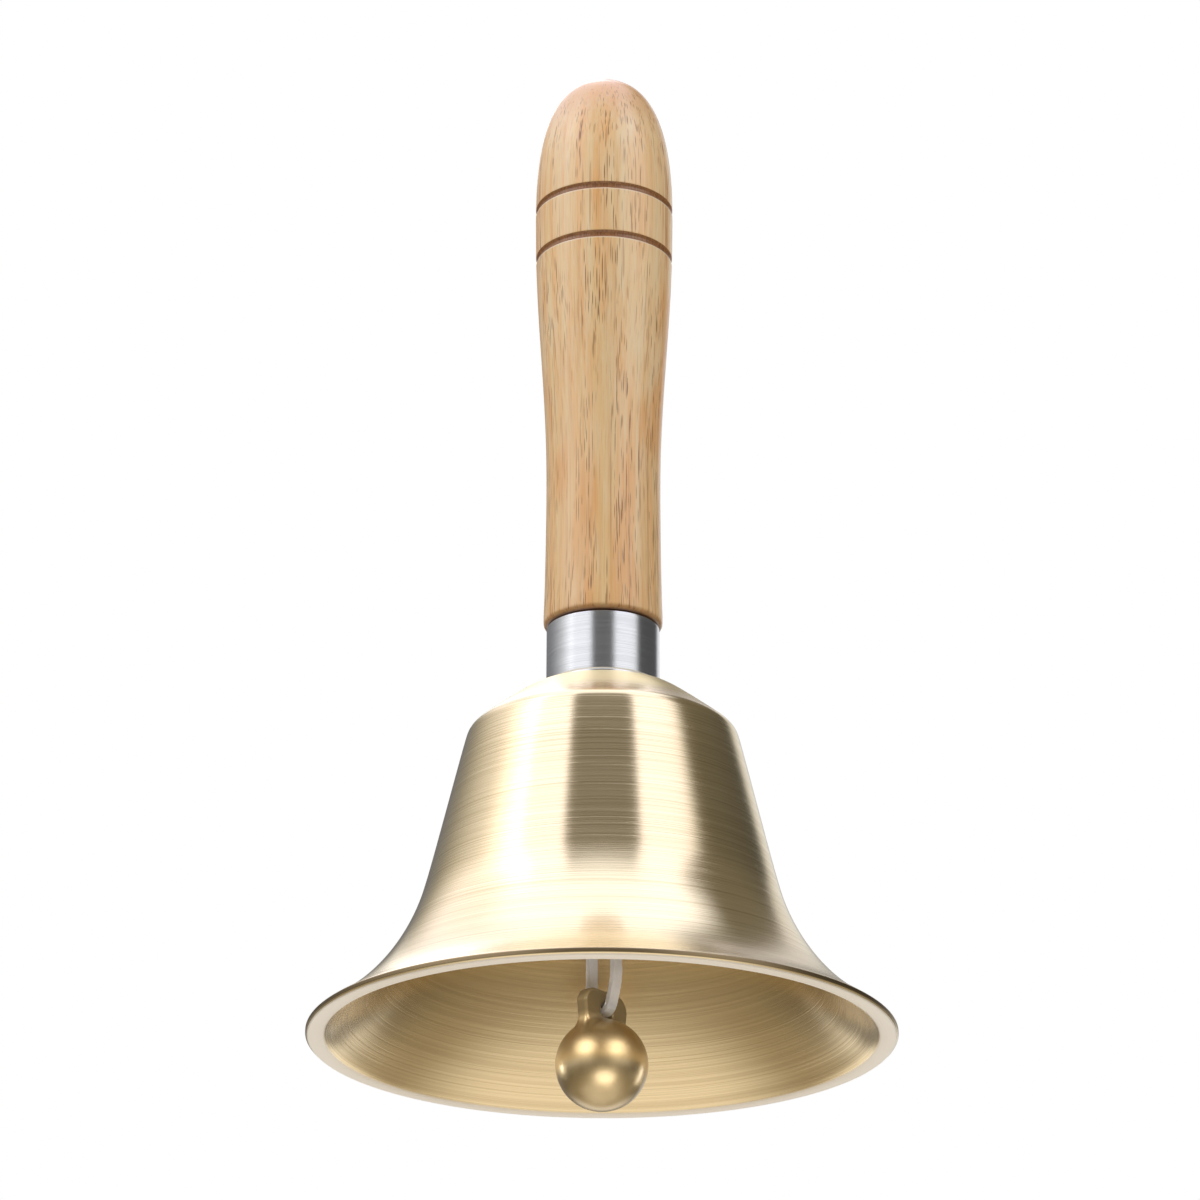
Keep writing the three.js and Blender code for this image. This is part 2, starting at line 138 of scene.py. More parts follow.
def fine_outline(node, spacing, corner_deg, edge_radius):
    """The CAD outline as a dense smooth curve, with each sharp corner eased to a small round."""
    points, closed = outline_of(node)
    sharp = turns_at(points, closed) > corner_deg
    if closed:
        first = int(np.argmax(sharp))
        points = np.roll(points, -first, axis=0)
        sharp = np.roll(sharp, -first)
        points = np.vstack([points, points[:1]])
        sharp = np.append(sharp, True)
    corners = [int(i) for i in np.flatnonzero(sharp)]
    runs = [spline_run(points[a:b + 1], spacing) for a, b in zip(corners, corners[1:])]
    trimmed = []
    for i, run in enumerate(runs):
        if i > 0 or closed:
            run = cut_back(run[::-1], edge_radius)[::-1]
        if i < len(runs) - 1 or closed:
            run = cut_back(run, edge_radius)
        trimmed.append(run)
    made = []
    for i, run in enumerate(trimmed):
        made.append(run)
        if i == len(trimmed) - 1 and not closed:
            break
        start, corner, end = run[-1], points[corners[i + 1]], trimmed[(i + 1) % len(trimmed)][0]
        for share in (0.25, 0.5, 0.75):
            bend = (1 - share) ** 2 * start + 2 * share * (1 - share) * corner + share ** 2 * end
            made.append(bend[None, :])
    return np.vstack(made), closed


def lathe(name, outline, closed, segments):
    """Turns an outline about +Z into a mesh of quads.

    Attribute "along" is the distance along the outline, and "inside" is 1 where the face looks inward.
    """
    count = len(outline)
    length = np.concatenate([[0], np.cumsum(np.linalg.norm(np.diff(outline, axis=0), axis=1))])
    angles = np.arange(segments) * 2 * math.pi / segments
    on_axis = outline[:, 0] < 1e-7
    vertices = []
    along = []
    first_of = []
    for i in range(count):
        first_of.append(len(vertices))
        radius, height = outline[i]
        ring = [0.0] if on_axis[i] else angles
        for angle in ring:
            vertices.append((radius * math.cos(angle), radius * math.sin(angle), height))
            along.append(length[i])
    faces = []
    pairs = [(i, (i + 1) % count) for i in range(count if closed else count - 1)]
    for i, j in pairs:
        a, b = first_of[i], first_of[j]
        for k in range(segments):
            n = (k + 1) % segments
            if on_axis[i] and on_axis[j]:
                continue
            if on_axis[i]:
                faces.append((a, b + n, b + k))
            elif on_axis[j]:
                faces.append((a + k, a + n, b))
            else:
                faces.append((a + k, a + n, b + n, b + k))
    mesh = bpy.data.meshes.new(name)
    mesh.from_pydata(vertices, [], faces)
    note_on(mesh, "along", np.array(along))
    obj = finished(name, mesh)
    normals = np.zeros(len(vertices) * 3)
    mesh.vertex_normals.foreach_get("vector", normals)
    outward = (normals.reshape(-1, 3)[:, :2] * np.array(vertices)[:, :2]).sum(1)
    note_on(mesh, "inside", (outward < -1e-4).astype(float))
    return obj


def note_on(mesh, name, values):
    """Stores one number per point, which a material can read."""
    attribute = mesh.attributes.new(name, "FLOAT", "POINT")
    attribute.data.foreach_set("value", values.astype(np.float32))


def finished(name, mesh):
    """An object for the mesh, with faces that point out and smooth shading."""
    obj = bpy.data.objects.new(name, mesh)
    bpy.context.scene.collection.objects.link(obj)
    face_out(mesh)
    mesh.polygons.foreach_set("use_smooth", np.ones(len(mesh.polygons), bool))
    mesh.update()
    return obj


def face_out(mesh):
    """Flips the faces of a closed mesh if they point in."""
    mesh.calc_loop_triangles()
    corner = np.zeros(len(mesh.vertices) * 3)
    mesh.vertices.foreach_get("co", corner)
    corner = corner.reshape(-1, 3)
    index = np.zeros(len(mesh.loop_triangles) * 3, int)
    mesh.loop_triangles.foreach_get("vertices", index)
    a, b, c = (corner[index.reshape(-1, 3)[:, k]] for k in range(3))
    if np.einsum("ij,ij->i", a, np.cross(b, c)).sum() < 0:
        mesh.flip_normals()


def stand_in(obj, node, body, material):
    """obj takes the place of a CAD node."""
    obj.data.materials.clear()
    obj.data.materials.append(material)
    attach(obj, body)
    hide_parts(node)


# ---------------------------------------------------------------- materials
class Tree:
    """A node tree under construction. Each call adds nodes and gives back the last one's output."""

    def __init__(self, node_tree):
        self.nodes = node_tree.nodes
        self.links = node_tree.links

    def add(self, kind, inputs=None, **settings):
        node = self.nodes.new("ShaderNode" + kind)
        for key, value in settings.items():
            setattr(node, key, value)
        for key, value in (inputs or {}).items():
            self.feed(node.inputs[key], value)
        return node

    def feed(self, socket, value):
        if isinstance(value, bpy.types.NodeSocket):
            self.links.new(value, socket)
        else:
            socket.default_value = value

    def place(self):
        return self.add("TexCoord").outputs["Object"]

    def attribute(self, name):
        return self.add("Attribute", attribute_name=name).outputs["Fac"]

    def math(self, operation, a, b=0.0):
        return self.add("Math", {0: a, 1: b}, operation=operation).outputs[0]

    def times(self, first, *others):
        for other in others:
            first = self.math("MULTIPLY", first, other)
        return first

    def plus(self, first, *others):
        for other in others:
            first = self.math("ADD", first, other)
        return first

    def minus(self, a, b):
        return self.math("SUBTRACT", a, b)

    def vector(self, x, y, z):
        return self.add("CombineXYZ", {0: x, 1: y, 2: z}).outputs[0]

    def parts(self, vector):
        return self.add("SeparateXYZ", {0: vector}).outputs

    def scaled(self, vector, x, y, z):
        inputs = {0: vector, 1: (x, y, z)}
        return self.add("VectorMath", inputs, operation="MULTIPLY").outputs[0]

    def moved(self, vector, by):
        return self.add("VectorMath", {0: vector, 1: by}, operation="ADD").outputs[0]

    def level(self, vector):
        """The vector's part in the horizontal plane."""
        return self.scaled(vector, 1, 1, 0)

    def direction(self, vector):
        return self.add("VectorMath", {0: vector}, operation="NORMALIZE").outputs[0]

    def noise(self, vector, scale=1.0, detail=2.0, roughness=0.5):
        inputs = {"Vector": vector, "Scale": scale, "Detail": detail, "Roughness": roughness}
        return self.add("TexNoise", inputs).outputs["Fac"]

    def band(self, value, low, high, out_low=0.0, out_high=1.0):
        """Goes smoothly from out_low to out_high as value goes from low to high."""
        inputs = {
            "Value": value, "From Min": low, "From Max": high, "To Min": out_low, "To Max": out_high,
        }
        return self.add("MapRange", inputs, interpolation_type="SMOOTHSTEP").outputs[0]

    def mix(self, share, a, b, blend="MIX"):
        node = self.add("Mix", data_type="RGBA", blend_type=blend)
        colours = [s for s in node.inputs if s.type == "RGBA"]
        self.feed(node.inputs[0], share)
        self.feed(colours[0], a)
        self.feed(colours[1], b)
        return node.outputs[2]

    def blend(self, share, a, b):
        """One number that goes from a to b as share goes from 0 to 1."""
        return self.add("Mix", {0: share, 2: a, 3: b}, data_type="FLOAT").outputs[0]

    def bump(self, height, distance, strength):
        inputs = {"Height": height, "Distance": distance, "Strength": strength}
        return self.add("Bump", inputs).outputs[0]


class Recipe(Tree):
    """A material under construction."""

    def __init__(self, name, **shader_values):
        self.material = bpy.data.materials.new(name)
        self.material.use_nodes = True
        super().__init__(self.material.node_tree)
        self.shader = self.nodes["Principled BSDF"]
        for socket, value in shader_values.items():
            self.shader.inputs[socket.replace("_", " ")].default_value = value

    def to_shader(self, socket, value):
        self.feed(self.shader.inputs[socket], value)

    def round_axis(self):
        """The direction that runs round +Z, which brushed metal's highlights follow."""
        return self.add("Tangent", direction_type="RADIAL", axis="Z").outputs[0]


def linear(red, green, blue):
    """An sRGB colour given as 0 to 255, as the shader's linear colour."""
    values = []
    for c in (red / 255, green / 255, blue / 255):
        values.append(c / 12.92 if c <= 0.04045 else ((c + 0.055) / 1.055) ** 2.4)
    return (*values, 1.0)


def turned_marks(recipe, across, per_metre):
    """A vector for noise that makes marks round the axis: slow round it, fast along the outline."""
    x, y, _ = recipe.parts(recipe.direction(recipe.level(recipe.place())))
    along = recipe.attribute("along")
    return recipe.vector(
        recipe.times(x, across),
        recipe.times(y, across),
        recipe.times(along, per_metre),
    )


def brass_material():
    r = Recipe("bell_brass", Anisotropic=0.85, Anisotropic_Rotation=0.25)
    up = r.parts(r.place())[2]
    inside = r.attribute("inside")

    # Turned marks: fine ones, coarse ones and a few deeper scratches
    fine = r.noise(turned_marks(r, 0.3, 7000), detail=2, roughness=0.65)
    coarse = r.noise(turned_marks(r, 0.2, 1900), detail=1)
    scratch = r.band(r.noise(turned_marks(r, 0.9, 3600), detail=0), 0.64, 0.72)
    relief = r.minus(r.plus(r.times(fine, 0.6), r.times(coarse, 0.4)), r.times(scratch, 0.5))
    clouds = r.noise(r.place(), scale=45, detail=3)
    tone = r.mix(r.band(fine, 0.3, 0.7), (0.60, 0.485, 0.28, 1), (0.94, 0.80, 0.535, 1))
    tone = r.mix(r.band(coarse, 0.35, 0.7, 0, 0.5), tone, (0.85, 0.72, 0.465, 1))
    tone = r.mix(r.band(clouds, 0.35, 0.75, 0, 0.2), tone, (0.79, 0.64, 0.38, 1))

    # The inside is browner and more streaked
    tone = r.mix(r.times(inside, 0.55), tone, (0.77, 0.62, 0.39, 1))
    streak = r.times(inside, r.band(coarse, 0.42, 0.62, 0, 0.5))
    tone = r.mix(streak, tone, (0.60, 0.47, 0.28, 1))

    # The rim's flat face is pale and nearly matt
    rim = r.band(up, RIM_PLANE + 0.05 * MM, RIM_PLANE + 0.35 * MM, 1, 0)
    tone = r.mix(rim, tone, (1.0, 0.95, 0.88, 1))
    # The crown is rougher, and its colour is lightened to gold as a painted reflection
    crown = r.band(up, CROWN_TOP - 8 * MM, CROWN_TOP - 3 * MM)
    tone = r.mix(r.times(crown, 0.9), tone, (1.0, 0.86, 0.50, 1))

    # A dark line of painted reflection runs round the rim's outer edge, where the brass is also
    # rougher
    edge_foot = r.band(up, RIM_PLANE + 0.35 * MM, RIM_PLANE + 0.5 * MM)
    edge_top = r.band(up, RIM_PLANE + 1.15 * MM, RIM_PLANE + 1.4 * MM, 1, 0)
    edge = r.times(edge_foot, edge_top, r.minus(1.0, inside))
    tone = r.mix(edge, tone, (0.37, 0.28, 0.16, 1))

    r.to_shader("Base Color", tone)
    r.to_shader("Metallic", r.minus(1.0, r.times(rim, 0.75)))
    rough = r.plus(r.times(coarse, 0.08), 0.15, r.times(inside, 0.05), r.times(crown, 0.2))
    r.to_shader("Roughness", r.plus(rough, r.times(edge, 0.3), r.times(rim, 0.3)))
    depth = r.plus(0.016 * MM, r.times(inside, 0.014 * MM))
    r.to_shader("Normal", r.bump(relief, depth, 0.6))
    r.to_shader("Tangent", r.round_axis())
    return r.material


def ferrule_material():
    r = Recipe("ferrule_aluminium", Anisotropic=0.7, Anisotropic_Rotation=0.25)
    fine = r.noise(turned_marks(r, 0.15, 8000), detail=3, roughness=0.7)
    coarse = r.noise(turned_marks(r, 0.12, 2600), detail=2)
    smears = r.noise(r.scaled(r.place(), 90, 90, 700), detail=2)
    tone = r.mix(r.band(fine, 0.3, 0.7), (0.70, 0.715, 0.74, 1), (0.90, 0.915, 0.94, 1))
    tone = r.mix(r.band(smears, 0.45, 0.7, 0, 0.3), tone, (0.66, 0.67, 0.69, 1))
    # A painted highlight runs round near the foot: a bright, nearly matt white line where the crown's
    # edge would show
    up = r.parts(r.place())[2]
    off = r.math("ABSOLUTE", r.minus(up, FERRULE_FOOT + FERRULE_HIGHLIGHT_RISE))
    painted_highlight_line = r.band(off, 0.12 * MM, 0.22 * MM, 1, 0)
    r.to_shader("Base Color", r.mix(painted_highlight_line, tone, (1.0, 1.0, 1.0, 1)))
    r.to_shader("Metallic", r.minus(1.0, r.times(painted_highlight_line, 0.7)))
    r.to_shader("Roughness", r.plus(r.times(coarse, 0.14), 0.17))
    r.to_shader("Normal", r.bump(fine, 0.018 * MM, 0.6))
    r.to_shader("Tangent", r.round_axis())
    return r.material


def oak_material():
    r = Recipe("lacquered_oak", Roughness=0.42, Coat_Weight=0.6, Coat_Roughness=0.2)
    spot = r.place()
    x, y, z = r.parts(spot)
    # Growth rings round a pith that lay outside the handle
    wander = r.noise(r.scaled(spot, 60, 60, 11), detail=2)
    off_x = r.minus(x, 34 * MM)
    off_y = r.plus(y, 52 * MM)
    square = r.plus(r.times(off_x, off_x), r.times(off_y, off_y))
    distance = r.plus(r.math("SQRT", square), r.times(wander, 6 * MM))
    rings = r.math("FRACT", r.times(distance, 1 / (3.1 * MM)))
    late = r.times(r.band(rings, 0.1, 0.85), r.band(rings, 0.86, 1.0, 1, 0))

    # Fibres, streaks and orange patches along the grain
    fibres = r.noise(r.scaled(spot, 3000, 3000, 60), detail=3, roughness=0.65)
    streaks = r.noise(r.scaled(spot, 700, 700, 12), detail=2, roughness=0.6)
    broad = r.noise(r.scaled(spot, 170, 170, 10), detail=2)
    glow = r.noise(r.moved(r.scaled(spot, 110, 110, 34), (7.3, 1.9, 4.4)), detail=1)
    tone = r.mix(late, linear(255, 218, 158), linear(255, 204, 138))
    tone = r.mix(r.band(broad, 0.42, 0.62, 0, 0.55), tone, linear(255, 226, 178))
    tone = r.mix(r.band(glow, 0.5, 0.66, 0, 0.6), tone, linear(246, 176, 96))
    tone = r.mix(r.band(streaks, 0.5, 0.74, 0, 0.4), tone, linear(236, 170, 98))
    tone = r.mix(r.band(streaks, 0.5, 0.3, 0, 0.4), tone, linear(255, 238, 200))
    tone = r.mix(r.band(fibres, 0.52, 0.74, 0, 0.35), tone, linear(226, 164, 100))
    tone = r.mix(r.band(fibres, 0.48, 0.3, 0, 0.35), tone, linear(255, 240, 214))
    # Painted shade: the dome's top is coloured a deeper orange to tone down the strong light from
    # above
    dome_painted_shade = r.band(z, WOOD_TOP - 16 * MM, WOOD_TOP - 3 * MM, 0, 0.75)
    tone = r.mix(dome_painted_shade, tone, linear(222, 162, 98))

    # Dark flecks. They follow the outline, so they stay long on the dome
    flat = r.level(spot)
    radius = r.add("VectorMath", {0: flat}, operation="LENGTH").outputs["Value"]
    even = r.plus(r.times(radius, 0.3), 8.5 * MM)
    wide = r.add("VectorMath", {0: r.direction(flat), 3: even}, operation="SCALE").outputs[0]
    wide_x, wide_y, _ = r.parts(wide)
    unrolled = r.vector(wide_x, wide_y, r.attribute("along"))
    pore = None
    for across, length, seed, share in (
        (5200, 210, 0.0, 0.66), (4300, 130, 13.7, 0.72), (3600, 80, 29.1, 0.82),
    ):
        at = r.moved(r.scaled(unrolled, across, across, length), (seed, seed, seed))
        cells = r.add("TexVoronoi", {"Vector": at, "Scale": 1.0})
        fleck = r.band(cells.outputs["Distance"], 0.22, 0.46, 1, 0)
        chosen = r.band(r.parts(cells.outputs["Color"])[0], share, share + 0.15)
        fleck = r.times(fleck, chosen)
        pore = fleck if pore is None else r.math("MAXIMUM", pore, fleck)
    crowd = r.noise(r.moved(r.scaled(spot, 260, 260, 26), (3.1, 8.2, 0.4)), detail=1)
    pore = r.times(pore, r.band(crowd, 0.38, 0.58, 0.12, 1.0), r.band(radius, 5 * MM, 11 * MM))
    tone = r.mix(r.times(pore, 0.9), tone, linear(128, 68, 24))
    long_lines = r.noise(r.moved(r.scaled(spot, 1800, 1800, 12), (1.7, 5.2, 9.9)), detail=0)
    tone = r.mix(r.band(long_lines, 0.7, 0.78, 0, 0.45), tone, linear(190, 124, 64))

    # Burnt grooves, each with a painted highlight along the edge below it
    groove = None
    for middle in GROOVES:
        off = r.minus(z, middle)
        # Painted highlight: a pale band just below the groove, where its lower edge would catch the
        # light
        painted_edge_highlight = r.times(r.band(off, -1.05 * MM, -0.8 * MM, 0, 0.7), r.band(off, 0, 0.1 * MM, 1, 0))
        tone = r.mix(painted_edge_highlight, tone, linear(255, 240, 214))
        inside = r.band(r.math("ABSOLUTE", off), 0.66 * MM, 0.78 * MM, 1, 0)
        groove = inside if groove is None else r.plus(groove, inside)
    burnt = r.mix(r.band(fibres, 0.35, 0.65), linear(138, 90, 50), linear(176, 122, 72))
    tone = r.mix(groove, tone, burnt)

    # The foot is shaded, and darkest where it meets the ferrule
    foot = r.band(z, WOOD_FOOT + 0.2 * MM, WOOD_FOOT + 1.4 * MM, 0.75, 0)
    tone = r.mix(foot, tone, linear(160, 108, 68))
    seam = r.band(z, WOOD_FOOT + 0.1 * MM, WOOD_FOOT + 0.45 * MM, 0.8, 0)
    tone = r.mix(seam, tone, linear(84, 52, 30))

    r.to_shader("Base Color", tone)
    relief = r.minus(r.times(fibres, 0.3), pore)
    r.to_shader("Normal", r.bump(relief, 0.04 * MM, 0.3))
    return r.material


def clapper_material():
    r = Recipe("clapper_brass", Metallic=1.0, Coat_Weight=0.4, Coat_Roughness=0.14)
    mottle = r.noise(r.place(), scale=300, detail=3)
    grain = r.noise(r.place(), scale=1800, detail=2)
    # Painted shade: the lug, up inside the bell, gets a darker colour; it is also rougher
    lug = r.band(r.parts(r.place())[2], BALL_HEIGHT + 7 * MM, BALL_HEIGHT + 9.5 * MM)
    tone = r.mix(mottle, (0.45, 0.345, 0.19, 1), (0.58, 0.46, 0.27, 1))
    r.to_shader("Base Color", r.mix(lug, tone, (0.22, 0.165, 0.085, 1)))
    rough = r.plus(r.times(mottle, 0.14), 0.3)
    r.to_shader("Roughness", r.plus(rough, r.times(lug, 0.3)))
    r.to_shader("Normal", r.bump(grain, 0.01 * MM, 0.2))
    return r.material


def strap_material():
    r = Recipe(
        "strap_nylon", Transmission_Weight=0.25, IOR=1.5, Coat_Weight=1.0, Coat_Roughness=0.06,
        Subsurface_Weight=0.3, Subsurface_Radius=(0.002, 0.002, 0.002), Subsurface_Scale=1.0,
    )
    haze = r.noise(r.place(), scale=900, detail=3)
    waves = r.noise(r.place(), scale=260, detail=1)
    r.to_shader("Base Color", r.mix(haze, (0.78, 0.82, 1.0, 1), (0.90, 0.93, 1.0, 1)))
    r.to_shader("Roughness", r.plus(r.times(haze, 0.16), 0.15))
    r.to_shader("Normal", r.bump(waves, 0.6 * MM, 0.8))
    return r.material


def zinc_material():
    r = Recipe("zinc_steel", Metallic=1.0)
    bloom = r.noise(r.place(), scale=700, detail=4)
    scuff = r.noise(r.scaled(r.place(), 3000, 3000, 600), detail=2)
    r.to_shader("Base Color", r.mix(bloom, (0.56, 0.57, 0.58, 1), (0.74, 0.74, 0.72, 1)))
    r.to_shader("Roughness", r.plus(r.times(scuff, 0.25), 0.22))
    r.to_shader("Normal", r.bump(bloom, 0.02 * MM, 0.4))
    return r.material


def leather_material():
    r = Recipe("washer_leather", Roughness=0.75)
    cells = r.add("TexVoronoi", {"Vector": r.place(), "Scale": 2200.0}).outputs["Distance"]
    patches = r.noise(r.place(), scale=260, detail=3)
    r.to_shader("Base Color", r.mix(patches, linear(96, 58, 36), linear(138, 88, 56)))
    r.to_shader("Normal", r.bump(cells, 0.08 * MM, 0.6))
    return r.material


def floor_material():
    r = Recipe("floor_paper", Roughness=0.9)
    r.to_shader("Base Color", (0.90, 0.875, 0.83, 1))
    return r.material


BRASS = brass_material()
ZINC = zinc_material()

# ---------------------------------------------------------------- bell, ferrule and handle
def turned(node, name, material, spacing, corner_deg, edge_radius, segments):
    """A finer lathed copy of a turned CAD node, in that node's place."""
    outline, closed = fine_outline(node, spacing, corner_deg, edge_radius)
    obj = lathe(name, outline, closed, segments)
    stand_in(obj, node, "bell", material)
    return obj


turned(
    "bell_shell", "bell_fine", BRASS,
    spacing=0.7 * MM, corner_deg=40, edge_radius=0.12 * MM, segments=192,
)
turned(
    "ferrule", "ferrule_fine", ferrule_material(),
    spacing=0.5 * MM, corner_deg=30, edge_radius=0.08 * MM, segments=160,
)
handle = turned(
    "handle", "handle_fine", oak_material(),
    spacing=0.6 * MM, corner_deg=35, edge_radius=0.15 * MM, segments=160,
)


# ---------------------------------------------------------------- cast clapper and moulded strap
def remeshed(node, name, voxel):
    """A copy of a CAD node's mesh in even small faces."""
    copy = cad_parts[node].data.copy()
    obj = bpy.data.objects.new(name, copy)
    bpy.context.scene.collection.objects.link(obj)
    modifier = obj.modifiers.new("voxels", "REMESH")
    modifier.mode = "VOXEL"
    modifier.voxel_size = voxel
    graph = bpy.context.evaluated_depsgraph_get()
    mesh = bpy.data.meshes.new_from_object(obj.evaluated_get(graph))
    obj.modifiers.clear()
    obj.data = mesh
    bpy.data.meshes.remove(copy)
    mesh.polygons.foreach_set("use_smooth", np.ones(len(mesh.polygons), bool))
    return obj


def points_of(mesh):
    points = np.zeros(len(mesh.vertices) * 3)
    mesh.vertices.foreach_get("co", points)
    return points.reshape(-1, 3)


def move_points(mesh, points):
    mesh.vertices.foreach_set("co", points.reshape(-1).astype(np.float32))
    mesh.update()


def relaxed(mesh, rounds, share):
    """Evens out the mesh: each point goes part of the way to the mean of its neighbours, then back.

    The step back is slightly larger, which keeps the mesh from shrinking.
    """
    points = points_of(mesh)
    pairs = np.zeros(len(mesh.edges) * 2, int)
    mesh.edges.foreach_get("vertices", pairs)
    pairs = pairs.reshape(-1, 2)
    count = np.bincount(pairs.reshape(-1), minlength=len(points))[:, None]
    for step in range(rounds * 2):
        weight = share if step % 2 == 0 else -share * 1.03
        total = np.zeros_like(points)
        np.add.at(total, pairs[:, 0], points[pairs[:, 1]])
        np.add.at(total, pairs[:, 1], points[pairs[:, 0]])
        points += weight * (total / count - points)
    move_points(mesh, points)


LUG_TURN = math.radians(52)
LUG_ACROSS = np.array([math.cos(LUG_TURN), math.sin(LUG_TURN)])
LUG_NORMAL = np.array([math.sin(LUG_TURN), -math.cos(LUG_TURN)])
BALL_RADIUS = 8.65 * MM
BALL_HEIGHT = CLAPPER_LOW.z + BALL_RADIUS
HOLE_HEIGHT = BALL_HEIGHT + 9.9 * MM
HOLE_RADIUS = 1.75 * MM
HOLE_ROUNDING = 0.5 * MM
LUG_FOOT = 2 * MM
LUG_CORNER = 3.2 * MM
LUG_HALF_WIDTH = 5.95 * MM
LUG_HALF_DEPTH = 1.2 * MM
LUG_EDGE = 0.55 * MM
NECK_ROUNDING = 1.6 * MM


def smooth_join(a, b, blend):
    share = np.clip(0.5 + 0.5 * (b - a) / blend, 0, 1)
    return b * (1 - share) + a * share - blend * share * (1 - share)


def rounded(a, b):
    """Distance from a corner, from how far past each of its two sides a point lies."""
    return np.hypot(np.maximum(a, 0), np.maximum(b, 0)) + np.minimum(np.maximum(a, b), 0)


def clapper_field(points):
    """Distance from the surface of the casting: a ball and a flat lug that run into each other."""
    across = points[:, :2] @ LUG_ACROSS
    depth = points[:, :2] @ LUG_NORMAL
    up = points[:, 2] - BALL_HEIGHT
    ball = np.sqrt(across ** 2 + depth ** 2 + up ** 2) - BALL_RADIUS
    top = CLAPPER_HIGH.z - BALL_HEIGHT
    middle = (top - LUG_FOOT) / 2 + LUG_FOOT
    width = LUG_HALF_WIDTH + 0.4 * MM * np.clip((up - 8 * MM) / (3 * MM), 0, 1)
    past_side = np.abs(across) - (width - LUG_CORNER)
    past_top = np.abs(up - middle) - (top - middle - LUG_CORNER)
    plate = rounded(past_side, past_top) - LUG_CORNER
    past_face = np.abs(depth) - (LUG_HALF_DEPTH - LUG_EDGE)
    lug = rounded(plate + LUG_EDGE, past_face) - LUG_EDGE
    body = smooth_join(ball, lug, NECK_ROUNDING)
    hole = np.hypot(across, points[:, 2] - HOLE_HEIGHT) - HOLE_RADIUS
    return -smooth_join(-body, hole, HOLE_ROUNDING)


def settle_on(field, mesh, rounds):
    """Moves the mesh's points onto the surface where the field is zero."""
    points = points_of(mesh)
    step = 0.01 * MM
    for _ in range(rounds):
        value = field(points)
        slope = np.stack([
            (field(points + np.eye(3)[k] * step) - field(points - np.eye(3)[k] * step)) / (2 * step)
            for k in range(3)
        ], axis=1)
        # The floor under the slope's square keeps the step small where the field is nearly flat
        size = np.maximum((slope ** 2).sum(1), 0.2)
        points -= 0.8 * (value / size)[:, None] * slope
    move_points(mesh, points)


clapper = remeshed("clapper", "clapper_cast", 0.25 * MM)
relaxed(clapper.data, 6, 0.5)
settle_on(clapper_field, clapper.data, 12)
relaxed(clapper.data, 4, 0.5)
settle_on(clapper_field, clapper.data, 4)
stand_in(clapper, "clapper", "clapper", clapper_material())

strap = remeshed("suspension_strap", "strap_moulded", 0.14 * MM)
relaxed(strap.data, 10, 0.5)
stand_in(strap, "suspension_strap", "strap", strap_material())

# ---------------------------------------------------------------- fixing hardware inside the crown
for node in ("clamp_washer", "lock_washer", "hex_nut", "eye_hanger", "leather_washer"):
    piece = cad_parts[node]
    piece.data.materials.clear()
    piece.data.materials.append(leather_material() if node == "leather_washer" else ZINC)
    piece.data.polygons.foreach_set("use_smooth", np.ones(len(piece.data.polygons), bool))
    edge_round = piece.modifiers.new("edge_round", "BEVEL")
    edge_round.width = 0.15 * MM
    edge_round.segments = 2
    edge_round.limit_method = "ANGLE"
    edge_round.angle_limit = math.radians(35)


# ---------------------------------------------------------------- room, light and camera
FLOOR_REACH = 60.0
FLOOR_HEIGHT = -0.62
LAMP_DISTANCE = 0.3
GRIP_HEIGHT = 20 * MM
CAMERA_PLACE = (-0.0006, -0.7933, -0.3478)
CAMERA_RISE = 21.72
CAMERA_ROLL = 0.18


def make_floor():
    corners = [(-1, -1), (1, -1), (1, 1), (-1, 1)]
    points = [(x * FLOOR_REACH, y * FLOOR_REACH, FLOOR_HEIGHT) for x, y in corners]
    mesh = bpy.data.meshes.new("floor")
    mesh.from_pydata(points, [], [(0, 1, 2, 3)])
    floor = bpy.data.objects.new("floor", mesh)
    bpy.context.scene.collection.objects.link(floor)
    mesh.materials.append(floor_material())
    floor.visible_diffuse = False
    floor.visible_glossy = False
    floor.visible_transmission = False
    floor.visible_shadow = False


